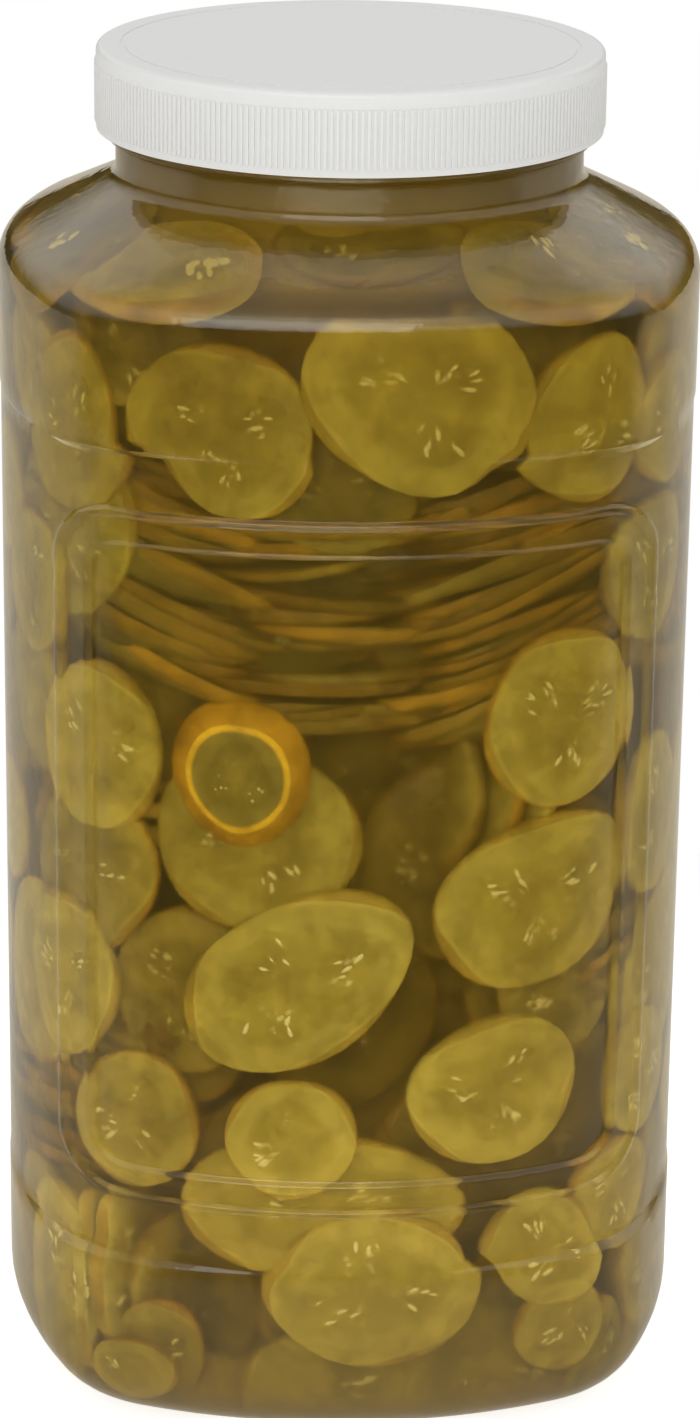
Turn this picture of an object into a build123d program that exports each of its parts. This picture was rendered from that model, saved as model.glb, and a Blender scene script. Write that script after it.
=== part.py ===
"""Square-shouldered clear jar of pickles: bottle, ribbed screw lid and the brine that fills it.

Millimetres, +Z up, origin at the centre of the standing face. The label fronts face -Y and +Y.
"""

from build123d import *

import os
from math import acos, cos, degrees, pi, radians, sin, sqrt, tan

os.makedirs("parts", exist_ok=True)

# Plan of the body: four bowed faces joined by round corners
BODY_HALF_WIDTH = 71.4
FACE_RADIUS = 120.0
CORNER_RADIUS = 29.0

# The waist between the two body lines is rounder in plan, so its corners lie inside the bands
WAIST_HALF_WIDTH = 71.2
WAIST_FACE_RADIUS = 106.0
WAIST_STEP = 1.2

# Heights above the standing face
HEEL_HEIGHT = 15.0
LOWER_LINE = 38.3
UPPER_LINE = 210.7
SHOULDER_START = 235.0
LID_BOTTOM = 261.7
RIM_TOP = 276.6
BRINE_LEVEL = 272.8

# Heel, underside and wall
HEEL_INSET = 15.5
WALL = 1.3
FLOOR = 1.8
PUSH_UP_RADIUS = 40.0
PUSH_UP_DEPTH = 1.2
PUSH_UP_TAPER = 45.0

# Shoulder and neck
SHOULDER_ROUND = 6.8
SHOULDER_SLOPE = 28.5
NECK_RADIUS = 47.5
NECK_FILLET = 3.2
NECK_WALL = 1.6
BEAD_RADIUS = 49.2
BEAD_HEIGHT = 2.3
BEAD_ROUND = 0.8
BEAD_GAP = 0.2
THREAD_RADIUS = 49.3
THREAD_HEIGHT = 1.6
THREAD_PITCH = 5.0
THREAD_COUNT = 2
THREAD_TOP = 3.0

# Label front: a raised frame round a shallow panel, on the -Y and +Y sides
FRAME_HALF_WIDTH = 59.9
FRAME_BOTTOM = 51.6
FRAME_TOP = 198.8
FRAME_CORNER = 12.5
FRAME_RIB = 2.3
FRAME_HEIGHT = 0.6
PANEL_HALF_WIDTH = 53.0
PANEL_BOTTOM = 59.2
PANEL_TOP = 191.3
PANEL_CORNER = 6.5
PANEL_DEPTH = 0.4
FRONT_REACH = 75.0

# Lid
LID_RADIUS = 51.7
LID_HEIGHT = 16.5
LID_RIM_ROUND = 1.1
LID_TOP_PLATE = 1.6
LID_RIB_COUNT = 270
LID_RIB_DEPTH = 0.35
LID_RIB_TOP = 3.3
LID_LIP = 1.5
LID_INSIDE_RADIUS = 49.9
LID_RING_RADIUS = 46.5
LID_RING_WIDTH = 1.0
LID_RING_DEPTH = 0.2


def blend_angle(half_width, face_radius, corner_radius):
    """Angle from a face's middle at which its arc meets the corner's arc, in degrees."""
    ratio = (face_radius - half_width) / (face_radius - corner_radius)
    return degrees(acos(ratio / sqrt(2))) - 45


BLEND = blend_angle(BODY_HALF_WIDTH, FACE_RADIUS, CORNER_RADIUS)


def plan_edges(half_width, face_radius):
    """Edges of a closed plan: four face arcs, joined by four tangent corner arcs."""
    spread = cos(radians(BLEND)) - sin(radians(BLEND))
    corner_radius = face_radius - (face_radius - half_width) / spread
    corner_centre = (face_radius - corner_radius) * sin(radians(BLEND))
    face_centre = face_radius - half_width
    with BuildLine() as plan:
        for side in range(4):
            turn = 90 * side
            middle = Vector(0, face_centre).rotate(Axis.Z, turn)
            CenterArc(middle, face_radius, turn - 90 - BLEND, 2 * BLEND)
            corner = Vector(corner_centre, -corner_centre).rotate(Axis.Z, turn)
            CenterArc(corner, corner_radius, turn - 90 + BLEND, 90 - 2 * BLEND)
    return plan.edges()


def heel_sections(inset, floor):
    """Plans up the rounded heel, from the standing face to the straight wall."""
    steps = 6
    for step in range(steps + 1):
        angle = pi / 2 * step / steps
        pulled_in = HEEL_INSET * (1 - sin(angle))
        height = floor + (HEEL_HEIGHT - floor) * (1 - cos(angle))
        yield height, BODY_HALF_WIDTH - inset - pulled_in, FACE_RADIUS - inset - pulled_in


def waist_sections(inset, swell):
    """Plans of the waist, stepped in from the bands at both body lines."""
    band = (BODY_HALF_WIDTH - inset + swell, FACE_RADIUS - inset + swell)
    waist = (WAIST_HALF_WIDTH - inset + swell, WAIST_FACE_RADIUS - inset + swell)
    yield LOWER_LINE, *band
    yield LOWER_LINE + WAIST_STEP, *waist
    yield UPPER_LINE - WAIST_STEP, *waist
    yield UPPER_LINE, *band


def shoulder_profile():
    """Half widths and heights over the shoulder: round, straight slope, then the neck's fillet."""
    slope = radians(SHOULDER_SLOPE)
    round_steps = 5
    for step in range(round_steps + 1):
        angle = (pi / 2 - slope) * step / round_steps
        width = BODY_HALF_WIDTH - SHOULDER_ROUND * (1 - cos(angle))
        height = SHOULDER_START + SHOULDER_ROUND * sin(angle)
        yield width, height
    foot_width = NECK_RADIUS + NECK_FILLET * (1 - sin(slope))
    foot_height = height + (width - foot_width) * tan(slope)
    slope_steps = 3
    for step in range(1, slope_steps + 1):
        part = step / slope_steps
        yield width + (foot_width - width) * part, height + (foot_height - height) * part
    fillet_steps = 3
    for step in range(1, fillet_steps + 1):
        angle = slope + (pi / 2 - slope) * step / fillet_steps
        rise = NECK_FILLET * (cos(slope) - cos(angle))
        yield NECK_RADIUS + NECK_FILLET * (1 - sin(angle)), foot_height + rise


SHOULDER = list(shoulder_profile())
NECK_ROOT = SHOULDER[-1][1]


def shoulder_sections(inset):
    """Plans over the shoulder, turning from the body's square into the neck's circle."""
    for width, height in SHOULDER:
        part = (BODY_HALF_WIDTH - width) / (BODY_HALF_WIDTH - NECK_RADIUS)
        face_radius = FACE_RADIUS + (NECK_RADIUS - FACE_RADIUS) * part
        yield height, width - inset, face_radius - inset


def waist_shape(swell):
    """Solid of the waist, grown outwards by swell."""
    with BuildPart() as shape:
        for height, half_width, face_radius in waist_sections(0, swell):
            with BuildSketch(Plane.XY.offset(height)):
                make_face(plan_edges(half_width, face_radius))
        loft(ruled=True)
    return shape.part


def bottle_shape(inset, floor, neck_radius, top):
    """Solid of the bottle's shape drawn in by inset, from floor up to top."""
    band = plan_edges(BODY_HALF_WIDTH - inset, FACE_RADIUS - inset)
    with BuildPart() as shape:
        for height, half_width, face_radius in heel_sections(inset, floor):
            with BuildSketch(Plane.XY.offset(height)):
                make_face(plan_edges(half_width, face_radius))
        loft()
        with BuildSketch(Plane.XY.offset(HEEL_HEIGHT)):
            make_face(band)
        extrude(amount=LOWER_LINE - HEEL_HEIGHT)
        for height, half_width, face_radius in waist_sections(inset, 0):
            with BuildSketch(Plane.XY.offset(height)):
                make_face(plan_edges(half_width, face_radius))
        loft(ruled=True)
        with BuildSketch(Plane.XY.offset(UPPER_LINE)):
            make_face(band)
        extrude(amount=SHOULDER_START - UPPER_LINE)
        for height, half_width, face_radius in shoulder_sections(inset):
            with BuildSketch(Plane.XY.offset(height)):
                make_face(plan_edges(half_width, face_radius))
        loft()
        with BuildSketch(Plane.XY.offset(NECK_ROOT)):
            Circle(neck_radius)
        extrude(amount=top - NECK_ROOT)
    return shape.part


# The bottle's outside and the space inside it
outside = bottle_shape(0, 0, NECK_RADIUS, RIM_TOP)
inside = bottle_shape(WALL, FLOOR, NECK_RADIUS - NECK_WALL, RIM_TOP)

# Plane behind the bottle, facing -Y, that the label fronts are cut from
behind = Plane.XZ.offset(-FRONT_REACH)

# Raised frames on both label fronts
frame_skin = waist_shape(FRAME_HEIGHT)
with BuildPart() as frames:
    with BuildSketch(behind):
        with Locations((0, (FRAME_BOTTOM + FRAME_TOP) / 2)):
            RectangleRounded(2 * FRAME_HALF_WIDTH, FRAME_TOP - FRAME_BOTTOM, FRAME_CORNER)
            RectangleRounded(
                2 * (FRAME_HALF_WIDTH - FRAME_RIB),
                FRAME_TOP - FRAME_BOTTOM - 2 * FRAME_RIB,
                FRAME_CORNER - FRAME_RIB,
                mode=Mode.SUBTRACT,
            )
    extrude(amount=2 * FRONT_REACH)
    add(frame_skin, mode=Mode.INTERSECT)

# What the shallow label panels take off the waist
panel_skin = waist_shape(-PANEL_DEPTH)
with BuildPart() as panels:
    with BuildSketch(behind):
        with Locations((0, (PANEL_BOTTOM + PANEL_TOP) / 2)):
            RectangleRounded(2 * PANEL_HALF_WIDTH, PANEL_TOP - PANEL_BOTTOM, PANEL_CORNER)
    extrude(amount=2 * FRONT_REACH)
    add(panel_skin, mode=Mode.SUBTRACT)

# Bottle
with BuildPart() as jar:
    add(outside)
    add(frames.part)
    add(panels.part, mode=Mode.SUBTRACT)
    with BuildSketch(Plane.XZ):
        bead_top = LID_BOTTOM - BEAD_GAP
        with BuildLine():
            Polyline(
                (NECK_RADIUS - NECK_WALL / 2, bead_top),
                (BEAD_RADIUS - BEAD_ROUND, bead_top),
                (BEAD_RADIUS, bead_top - BEAD_ROUND),
                (BEAD_RADIUS, bead_top - BEAD_HEIGHT + BEAD_ROUND),
                (BEAD_RADIUS - BEAD_ROUND, bead_top - BEAD_HEIGHT),
                (NECK_RADIUS - NECK_WALL / 2, bead_top - BEAD_HEIGHT),
                close=True,
            )
        make_face()
    revolve(axis=Axis.Z)
    for turn in range(THREAD_COUNT):
        with BuildSketch(Plane.XZ):
            thread_middle = RIM_TOP - THREAD_TOP - THREAD_PITCH * turn
            with BuildLine():
                Polyline(
                    (NECK_RADIUS - NECK_WALL / 2, thread_middle + THREAD_HEIGHT),
                    (THREAD_RADIUS, thread_middle + THREAD_HEIGHT / 4),
                    (THREAD_RADIUS, thread_middle - THREAD_HEIGHT / 4),
                    (NECK_RADIUS - NECK_WALL / 2, thread_middle - THREAD_HEIGHT),
                    close=True,
                )
            make_face()
        revolve(axis=Axis.Z)
    add(inside, mode=Mode.SUBTRACT)
    with BuildSketch(Plane.XY):
        Circle(PUSH_UP_RADIUS)
    extrude(amount=PUSH_UP_DEPTH, taper=PUSH_UP_TAPER, mode=Mode.SUBTRACT)
jar.part.label = "jar"
export_step(jar.part, "parts/jar.step")

# Brine, filling the bottle up to its level
with BuildPart() as brine:
    add(bottle_shape(WALL, FLOOR, NECK_RADIUS - NECK_WALL, BRINE_LEVEL))
brine.part.label = "brine"
export_step(brine.part, "parts/brine.step")

# Lid
lid_top = LID_BOTTOM + LID_HEIGHT
rib_top = lid_top - LID_RIB_TOP
rib_bottom = LID_BOTTOM + LID_LIP
with BuildPart() as lid:
    with BuildSketch(Plane.XY.offset(LID_BOTTOM)):
        Circle(LID_RADIUS - LID_RIB_DEPTH)
    extrude(amount=LID_HEIGHT)
    top_edges = lid.edges().group_by(Axis.Z)[-1]
    fillet(top_edges, radius=LID_RIM_ROUND)
    with BuildSketch(Plane.XY.offset(rib_bottom)):
        Circle(LID_RADIUS)
        rib_pitch = 2 * pi * LID_RADIUS / LID_RIB_COUNT
        with PolarLocations(LID_RADIUS, LID_RIB_COUNT):
            Rectangle(2 * LID_RIB_DEPTH, rib_pitch / 2, mode=Mode.SUBTRACT)
    extrude(amount=rib_top - rib_bottom)
    with BuildSketch(Plane.XY.offset(LID_BOTTOM)):
        Circle(LID_INSIDE_RADIUS)
    extrude(amount=LID_HEIGHT - LID_TOP_PLATE, mode=Mode.SUBTRACT)
    with BuildSketch(Plane.XY.offset(lid_top)):
        Circle(LID_RING_RADIUS)
        Circle(LID_RING_RADIUS - LID_RING_WIDTH, mode=Mode.SUBTRACT)
    extrude(amount=-LID_RING_DEPTH, mode=Mode.SUBTRACT)
lid.part.label = "lid"
export_step(lid.part, "parts/lid.step")
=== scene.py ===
"""Visual layer of the pickle jar: clear bottle, brine, pickle slices with their seeds, lid and stage.

Heights and widths are in millimetres, and are turned into metres where a mesh gets its points.
"""

import random
from math import acos, atan2, ceil, copysign, cos, floor, hypot, pi, radians, sin, sqrt, tan

import bmesh
import bpy
from bpy.props import FloatProperty, IntProperty, PointerProperty
from mathutils import Matrix, Vector, noise


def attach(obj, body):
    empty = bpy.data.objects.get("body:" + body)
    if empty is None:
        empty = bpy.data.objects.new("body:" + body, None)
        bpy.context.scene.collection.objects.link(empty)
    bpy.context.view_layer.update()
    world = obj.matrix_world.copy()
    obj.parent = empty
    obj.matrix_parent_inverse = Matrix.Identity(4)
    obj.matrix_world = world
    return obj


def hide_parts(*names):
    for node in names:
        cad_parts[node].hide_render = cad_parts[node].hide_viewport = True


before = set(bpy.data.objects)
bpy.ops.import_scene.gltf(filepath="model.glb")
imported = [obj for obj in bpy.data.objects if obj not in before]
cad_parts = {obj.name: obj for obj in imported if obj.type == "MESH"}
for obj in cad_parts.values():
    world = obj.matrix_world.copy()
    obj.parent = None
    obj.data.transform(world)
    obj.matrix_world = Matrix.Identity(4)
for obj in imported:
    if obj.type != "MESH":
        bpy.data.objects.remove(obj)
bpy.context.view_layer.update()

bl_info = {
    "name": "Pickle jar pieces",
    "version": (1, 0, 0),
    "blender": (4, 5, 0),
    "location": "View3D > Sidebar > Pickle jar",
    "description": "Builds the bottle, brine, slices, seeds and stage of a pickle jar",
    "category": "Object",
}

MM = 0.001

# Bottle, as in the part
BODY_HALF_WIDTH = 71.4
FACE_RADIUS = 120.0
CORNER_RADIUS = 29.0
WAIST_HALF_WIDTH = 71.2
WAIST_FACE_RADIUS = 106.0
WAIST_STEP = 1.2
HEEL_HEIGHT = 15.0
HEEL_INSET = 15.5
LOWER_LINE = 38.3
UPPER_LINE = 210.7
SHOULDER_START = 235.0
SHOULDER_ROUND = 6.8
SHOULDER_SLOPE = radians(28.5)
NECK_RADIUS = 47.5
NECK_FILLET = 3.2
NECK_WALL = 1.6
LID_BOTTOM = 261.7
RIM_TOP = 276.6
BRINE_LEVEL = 272.8
WALL = 1.3
FLOOR = 1.8
PUSH_UP_RADIUS = 40.0
PUSH_UP_DEPTH = 1.2
BEAD_RADIUS = 49.2
BEAD_HEIGHT = 2.3
BEAD_GAP = 0.2
THREAD_RADIUS = 49.3
THREAD_TOP = 3.0
THREAD_PITCH = 5.0
THREAD_HEIGHT = 1.6
FRAME_HALF_WIDTH = 59.9
FRAME_BOTTOM = 51.6
FRAME_TOP = 198.8
FRAME_CORNER = 12.5
FRAME_RIB = 2.3
PANEL_HALF_WIDTH = 53.0
PANEL_BOTTOM = 59.2
PANEL_TOP = 191.3
PANEL_CORNER = 6.5
FRAME_FLANK = 0.75
PANEL_EDGE = 0.9
PANEL_LIP = 0.3

# Angle from a face's middle at which its arc meets the corner's arc
BLEND = acos((FACE_RADIUS - BODY_HALF_WIDTH) / (FACE_RADIUS - CORNER_RADIUS) / sqrt(2)) - pi / 4
SPREAD = cos(BLEND) - sin(BLEND)

HEEL_STEPS = 12
FACE_COLUMNS = 50
CORNER_COLUMNS = 36

# Slices against the front wall: x, height of the middle, width, height, extra depth,
# lean of the top inwards, swing of the right side inwards, turn, tone (0 pale to 1 deep amber, the deep end
# partly painted shade), seed groups
FRONT_SLICES = (
    (10, 223, 43, 38, 0.0, 0.02, 0.00, -0.5, 0.03, 3),
    (-25, 215, 34, 35, 0.4, 0.03, -0.05, 0.3, 0.32, 3),
    (44, 216, 34, 34, 0.3, 0.02, 0.04, 0.0, 0.00, 3),
    (-57, 213, 34, 37, 0.2, 0.00, 0.03, 0.0, 0.35, 2),
    (-42, 229, 30, 22, 3.5, 0.25, 0.00, 0.0, 0.60, 2),
    (28, 231, 26, 22, 5.0, 0.20, 0.00, 0.0, 0.65, 0),
    (-4, 202, 32, 24, 4.5, 0.10, 0.00, 0.0, 0.70, 0),
    (42, 155, 36, 37, 0.0, 0.00, 0.02, 0.0, 0.12, 3),
    (38, 117, 47, 36, 0.3, -0.03, 0.03, 0.3, 0.18, 3),
    (44, 95, 30, 26, 4.0, 0.05, 0.00, 0.0, 0.55, 1),
    (29, 77, 38, 31, 0.0, 0.03, 0.00, 0.2, 0.00, 3),
    (-21, 131, 44, 38, 3.2, 0.05, 0.00, -0.2, 0.30, 3),
    (-12, 102, 51, 34, 0.2, 0.00, 0.00, 0.6, 0.32, 3),
    (-36, 97, 34, 36, 4.5, 0.00, 0.06, 0.0, 0.55, 2),
    (-53, 147, 32, 36, 0.6, 0.00, 0.02, 0.0, 0.10, 2),
    (-59, 96, 30, 36, 0.4, 0.00, 0.00, 0.0, 0.20, 3),
    (-13, 68, 27, 26, 0.0, 0.00, 0.00, 0.0, 0.04, 1),
    (-7, 52, 60, 32, 2.6, 0.04, 0.00, 0.0, 0.08, 2),
    (4, 35, 41, 34, 0.0, 0.02, 0.00, 0.0, 0.12, 3),
    (39, 40, 27, 26, 0.3, 0.00, 0.02, 0.0, 0.15, 3),
    (41, 22, 24, 20, 1.2, 0.00, 0.00, 0.0, 0.20, 2),
    (56, 48, 26, 24, 1.6, 0.00, 0.00, 0.0, 0.25, 2),
    (61, 72, 28, 27, 0.8, 0.00, 0.00, 0.0, 0.18, 3),
    (-60, 27, 34, 42, 0.4, 0.00, 0.00, 0.0, 0.00, 2),
    (-42, 13, 22, 14, 0.5, 0.00, 0.00, 0.0, 0.20, 1),
    (62, 212, 30, 28, 1.0, 0.00, 0.00, 0.0, 0.30, 2),
    (-64, 176, 30, 30, 0.6, 0.00, 0.00, 0.0, 0.40, 2),
    (60, 182, 32, 30, 1.2, 0.00, 0.00, 0.0, 0.45, 3),
    (62, 128, 28, 34, 0.8, 0.00, 0.00, 0.0, 0.32, 2),
    (-46, 68, 30, 30, 1.4, 0.00, 0.05, 0.0, 0.45, 2),
)

# Tapered slice from a pickle's end, at the front: x, height of the middle, width, height, depth, tone
END_SLICE = (-24, 145, 30, 32, 0.8, 0.7)
END_BULK = 1.5
END_TAPER = 0.28

# Stacks of slices seen from their edges: x, y, lowest and highest middle, width, tip to the front,
# roll, count
EDGE_STACKS = (
    (-36, -38, 160, 199, 60, -0.20, 0.28, 24),
    (27, -37, 146, 199, 64, -0.20, -0.34, 32),
    (-6, -40, 148, 188, 60, -0.20, -0.05, 24),
    (-46, -44, 124, 138, 38, -0.10, 0.10, 8),
    (-46, -44, 66, 88, 40, -0.12, 0.20, 12),
    (48, -42, 90, 106, 36, -0.10, -0.25, 8),
)

# Slices on the slope at the front: x, y, height, size, slimness, lift, tone
SHOULDER_SLICES = (
    (-39, -54, 243, 42, 0.54, 1.02, 0.20), (38, -55, 243, 40, 0.56, 0.98, 0.50),
    (-4, -47, 236, 44, 0.80, 0.60, 0.70), (60, -38, 242, 34, 0.80, 0.90, 0.70),
    (-62, -34, 242, 34, 0.80, 0.90, 0.70), (2, -46, 245, 38, 0.60, 1.10, 0.70),
)

# Leaning slices: x, height, size, swing, tone
LEANING_SLICES = (
    (-50, 30, 40, 0.75, 0.15), (-42, 33, 38, 0.70, 0.25), (-32, 30, 34, 0.50, 0.30),
    (10, 139, 44, -0.70, 0.55), (17, 141, 46, -0.65, 0.45), (24, 143, 46, -0.60, 0.40),
)
LEANING_Y = -49
LEANING_SHAPE = 0.85

# Stacks on the other sides: side, place along it, lowest and highest middle, roll, count
SIDE_STACKS = (
    (1, -20, 150, 196, 0.26, 22), (1, 24, 62, 92, -0.22, 14), (2, 14, 140, 184, -0.30, 22),
    (2, -26, 66, 96, 0.24, 14), (3, -12, 116, 164, 0.30, 23), (3, 26, 44, 72, -0.24, 13),
)
SIDE_STACK_Y = -40
SIDE_STACK_WIDTH = 54
SIDE_STACK_TIP = -0.20


def mix(start, end, part):
    """Value at part of the way from start to end."""
    return start + (end - start) * part


def ease(value):
    """Smooth step, from 0 to 1."""
    value = min(max(value, 0.0), 1.0)
    return value * value * (3 - 2 * value)


def corner_of(half_width, face_radius):
    """Radius of the corner arcs, and how far their centres lie along x and y."""
    corner_radius = face_radius - (face_radius - half_width) / SPREAD
    return corner_radius, (face_radius - corner_radius) * sin(BLEND)


def plan_point(bearing, half_width, face_radius):
    """Point of the plan whose outward normal has that bearing, from -Y towards +X."""
    side = floor((bearing + pi / 4) / (pi / 2))
    local = bearing - side * pi / 2
    if abs(local) <= BLEND:
        x = face_radius * sin(local)
        y = face_radius - half_width - face_radius * cos(local)
    else:
        corner_radius, centre = corner_of(half_width, face_radius)
        x = copysign(centre, local) + corner_radius * sin(local)
        y = -centre - corner_radius * cos(local)
    turn = side * pi / 2
    return x * cos(turn) - y * sin(turn), x * sin(turn) + y * cos(turn)


def heel_section(angle, base):
    """Height and plan on the rounded heel, at an angle from 0 at the foot to a right angle."""
    pulled_in = HEEL_INSET * (1 - sin(angle))
    height = base + (HEEL_HEIGHT - base) * (1 - cos(angle))
    return height, BODY_HALF_WIDTH - pulled_in, FACE_RADIUS - pulled_in


def shoulder_sections():
    """Heights and plans over the shoulder, from the body's square to the neck's circle."""
    profile = []
    round_steps = 8
    for step in range(round_steps + 1):
        angle = (pi / 2 - SHOULDER_SLOPE) * step / round_steps
        width = BODY_HALF_WIDTH - SHOULDER_ROUND * (1 - cos(angle))
        height = SHOULDER_START + SHOULDER_ROUND * sin(angle)
        profile.append((width, height))
    foot_width = NECK_RADIUS + NECK_FILLET * (1 - sin(SHOULDER_SLOPE))
    foot_height = height + (width - foot_width) * tan(SHOULDER_SLOPE)
    slope_steps = 8
    for step in range(1, slope_steps + 1):
        part = step / slope_steps
        profile.append((mix(width, foot_width, part), mix(height, foot_height, part)))
    fillet_steps = 6
    for step in range(1, fillet_steps + 1):
        angle = mix(SHOULDER_SLOPE, pi / 2, step / fillet_steps)
        rise = NECK_FILLET * (cos(SHOULDER_SLOPE) - cos(angle))
        profile.append((NECK_RADIUS + NECK_FILLET * (1 - sin(angle)), foot_height + rise))
    sections = []
    for width, height in profile:
        part = (BODY_HALF_WIDTH - width) / (BODY_HALF_WIDTH - NECK_RADIUS)
        sections.append((height, width, mix(FACE_RADIUS, NECK_RADIUS, part)))
    return sections


SHOULDER = shoulder_sections()
NECK_ROOT = SHOULDER[-1][0]


def section_at(height):
    """Half width and face radius of the bottle's outside at that height."""
    if height < HEEL_HEIGHT:
        angle = acos(1 - max(height, 0.0) / HEEL_HEIGHT)
        return heel_section(angle, 0.0)[1:]
    if height >= NECK_ROOT:
        return NECK_RADIUS, NECK_RADIUS
    if height > SHOULDER_START:
        for low, high in zip(SHOULDER, SHOULDER[1:]):
            if height <= high[0]:
                part = (height - low[0]) / (high[0] - low[0])
                return mix(low[1], high[1], part), mix(low[2], high[2], part)
    waist = min(height - LOWER_LINE, UPPER_LINE - height) / WAIST_STEP
    part = min(max(waist, 0.0), 1.0)
    return mix(BODY_HALF_WIDTH, WAIST_HALF_WIDTH, part), mix(FACE_RADIUS, WAIST_FACE_RADIUS, part)


def outside_rectangle(x, z, half_width, bottom, top, corner):
    """Distance outside a rounded rectangle on the label front; inside it is negative."""
    across = abs(x) - half_width + corner
    up = abs(z - (bottom + top) / 2) - (top - bottom) / 2 + corner
    return hypot(max(across, 0.0), max(up, 0.0)) + min(max(across, up), 0.0) - corner


def relief_at(x, z, frame_height, panel_depth):
    """How far the label front stands out from the waist: its raised frame and its shallow panel."""
    frame_gap = outside_rectangle(x, z, FRAME_HALF_WIDTH, FRAME_BOTTOM, FRAME_TOP, FRAME_CORNER)
    across = abs(frame_gap + FRAME_RIB / 2)
    ridge = ease((FRAME_RIB / 2 - across) / FRAME_FLANK)
    panel_gap = outside_rectangle(x, z, PANEL_HALF_WIDTH, PANEL_BOTTOM, PANEL_TOP, PANEL_CORNER)
    lip = PANEL_LIP * ease(1 - abs(panel_gap - PANEL_EDGE) / PANEL_EDGE)
    return frame_height * ridge + lip - panel_depth * ease(0.5 - panel_gap / PANEL_EDGE)


def spaced(start, end, pitch):
    """Heights from start towards end, about a pitch apart, without the end."""
    count = max(1, ceil(abs(end - start) / pitch))
    return [mix(start, end, step / count) for step in range(count)]


def waist_heights():
    """Heights up the straight body: close together where the lines, frame and panel are."""
    fine, middling, coarse = 0.36, 1.1, 3.8
    stops = (
        (HEEL_HEIGHT, coarse), (LOWER_LINE, 0.6), (LOWER_LINE + WAIST_STEP, coarse),
        (FRAME_BOTTOM - 0.5, fine), (FRAME_BOTTOM + FRAME_RIB + 0.5, middling),
        (PANEL_BOTTOM - 1, fine), (PANEL_BOTTOM + 1, middling), (PANEL_BOTTOM + 6, coarse),
        (PANEL_TOP - 6, middling), (PANEL_TOP - 1, fine), (PANEL_TOP + 1, middling),
        (FRAME_TOP - FRAME_RIB - 0.5, fine), (FRAME_TOP + 0.5, coarse),
        (UPPER_LINE - WAIST_STEP, 0.6), (UPPER_LINE, coarse), (SHOULDER_START, coarse),
    )
    heights = []
    for (start, pitch), (end, after) in zip(stops, stops[1:]):
        heights += spaced(start, end, pitch)
    return heights


def column_bearings(on_face, on_corner):
    """Bearings of the columns of points round the bottle, so many on each face and each corner."""
    bearings = []
    for side in range(4):
        for step in range(on_face):
            bearings.append(side * pi / 2 + mix(-BLEND, BLEND, step / on_face))
        for step in range(on_corner):
            bearings.append(side * pi / 2 + mix(BLEND, pi / 2 - BLEND, step / on_corner))
    return bearings


def skin_of_rows(bm, rows, relief, on_face=FACE_COLUMNS, on_corner=CORNER_COLUMNS):
    """Skin joining rows of (height, half width, face radius, has relief); returns its end rings."""
    bearings = column_bearings(on_face, on_corner)
    column = bm.verts.layers.int.new("column")
    level = bm.verts.layers.int.new("level")
    ring = bmesh.ops.create_circle(bm, cap_ends=False, radius=1, segments=len(bearings))["verts"]
    for vert in ring:
        turn = atan2(vert.co.x, -vert.co.y) % (2 * pi)
        vert[column] = round(turn / (2 * pi) * len(bearings)) % len(bearings)
    edges = list(bm.edges)
    first = edges
    for number in range(1, len(rows)):
        grown = bmesh.ops.extrude_edge_only(bm, edges=edges)["geom"]
        edges = [item for item in grown if isinstance(item, bmesh.types.BMEdge)
                 and item.verts[0][level] == number - 1 and len(item.link_faces) == 1]
        for vert in {vert for edge in edges for vert in edge.verts}:
            vert[level] = number
    for vert in bm.verts:
        height, half_width, face_radius, has_relief = rows[vert[level]]
        bearing = bearings[vert[column]]
        if has_relief:
            x = plan_point(bearing, half_width, face_radius)[0]
            swell = relief_at(x, height, *relief)
            half_width, face_radius = half_width + swell, face_radius + swell
        x, y = plan_point(bearing, half_width, face_radius)
        vert.co = Vector((x, y, height)) * MM
    bm.verts.layers.int.remove(bm.verts.layers.int["column"])
    bm.verts.layers.int.remove(bm.verts.layers.int["level"])
    return first, edges


def finish_mesh(bm, name, sharp_angle=40):
    """Object named name from a finished bmesh, smooth but for its sharp edges."""
    bmesh.ops.recalc_face_normals(bm, faces=bm.faces)
    for face in bm.faces:
        face.smooth = True
    mesh = bpy.data.meshes.new(name)
    bm.to_mesh(mesh)
    bm.free()
    mesh.set_sharp_from_angle(angle=radians(sharp_angle))
    piece = bpy.data.objects.new(name, mesh)
    bpy.context.scene.collection.objects.link(piece)
    return piece


def core_rows(inset):
    """Rows of the core under the slices, which keeps inset from the outside."""
    rows = []
    low, high, pitch = 3.5, 268.0, 5.0
    floor_share, neck_share, neck_start, blend = 0.35, 0.42, 225, 30
    for height in [*spaced(low, high, pitch), high]:
        half_width, face_radius = section_at(height)
        closer = mix(floor_share, 1.0, ease((height - low) / blend))
        closer *= mix(1.0, neck_share, ease((height - neck_start) / blend))
        rows.append((height, half_width - inset * closer, face_radius - inset * closer, False))
    return rows


def inner_rows(inset, base):
    """Rows up a skin that keeps inset from the outside, from its base to the top of the slope."""
    pitch = 6.0
    sections = [heel_section(pi / 2 * step / HEEL_STEPS, base) for step in range(HEEL_STEPS + 1)]
    sections += [(height, *section_at(height)) for height in spaced(HEEL_HEIGHT, SHOULDER_START, pitch)[1:]]
    sections += SHOULDER[:-1]
    return [(height, width - inset, radius - inset, False) for height, width, radius in sections]


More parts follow.
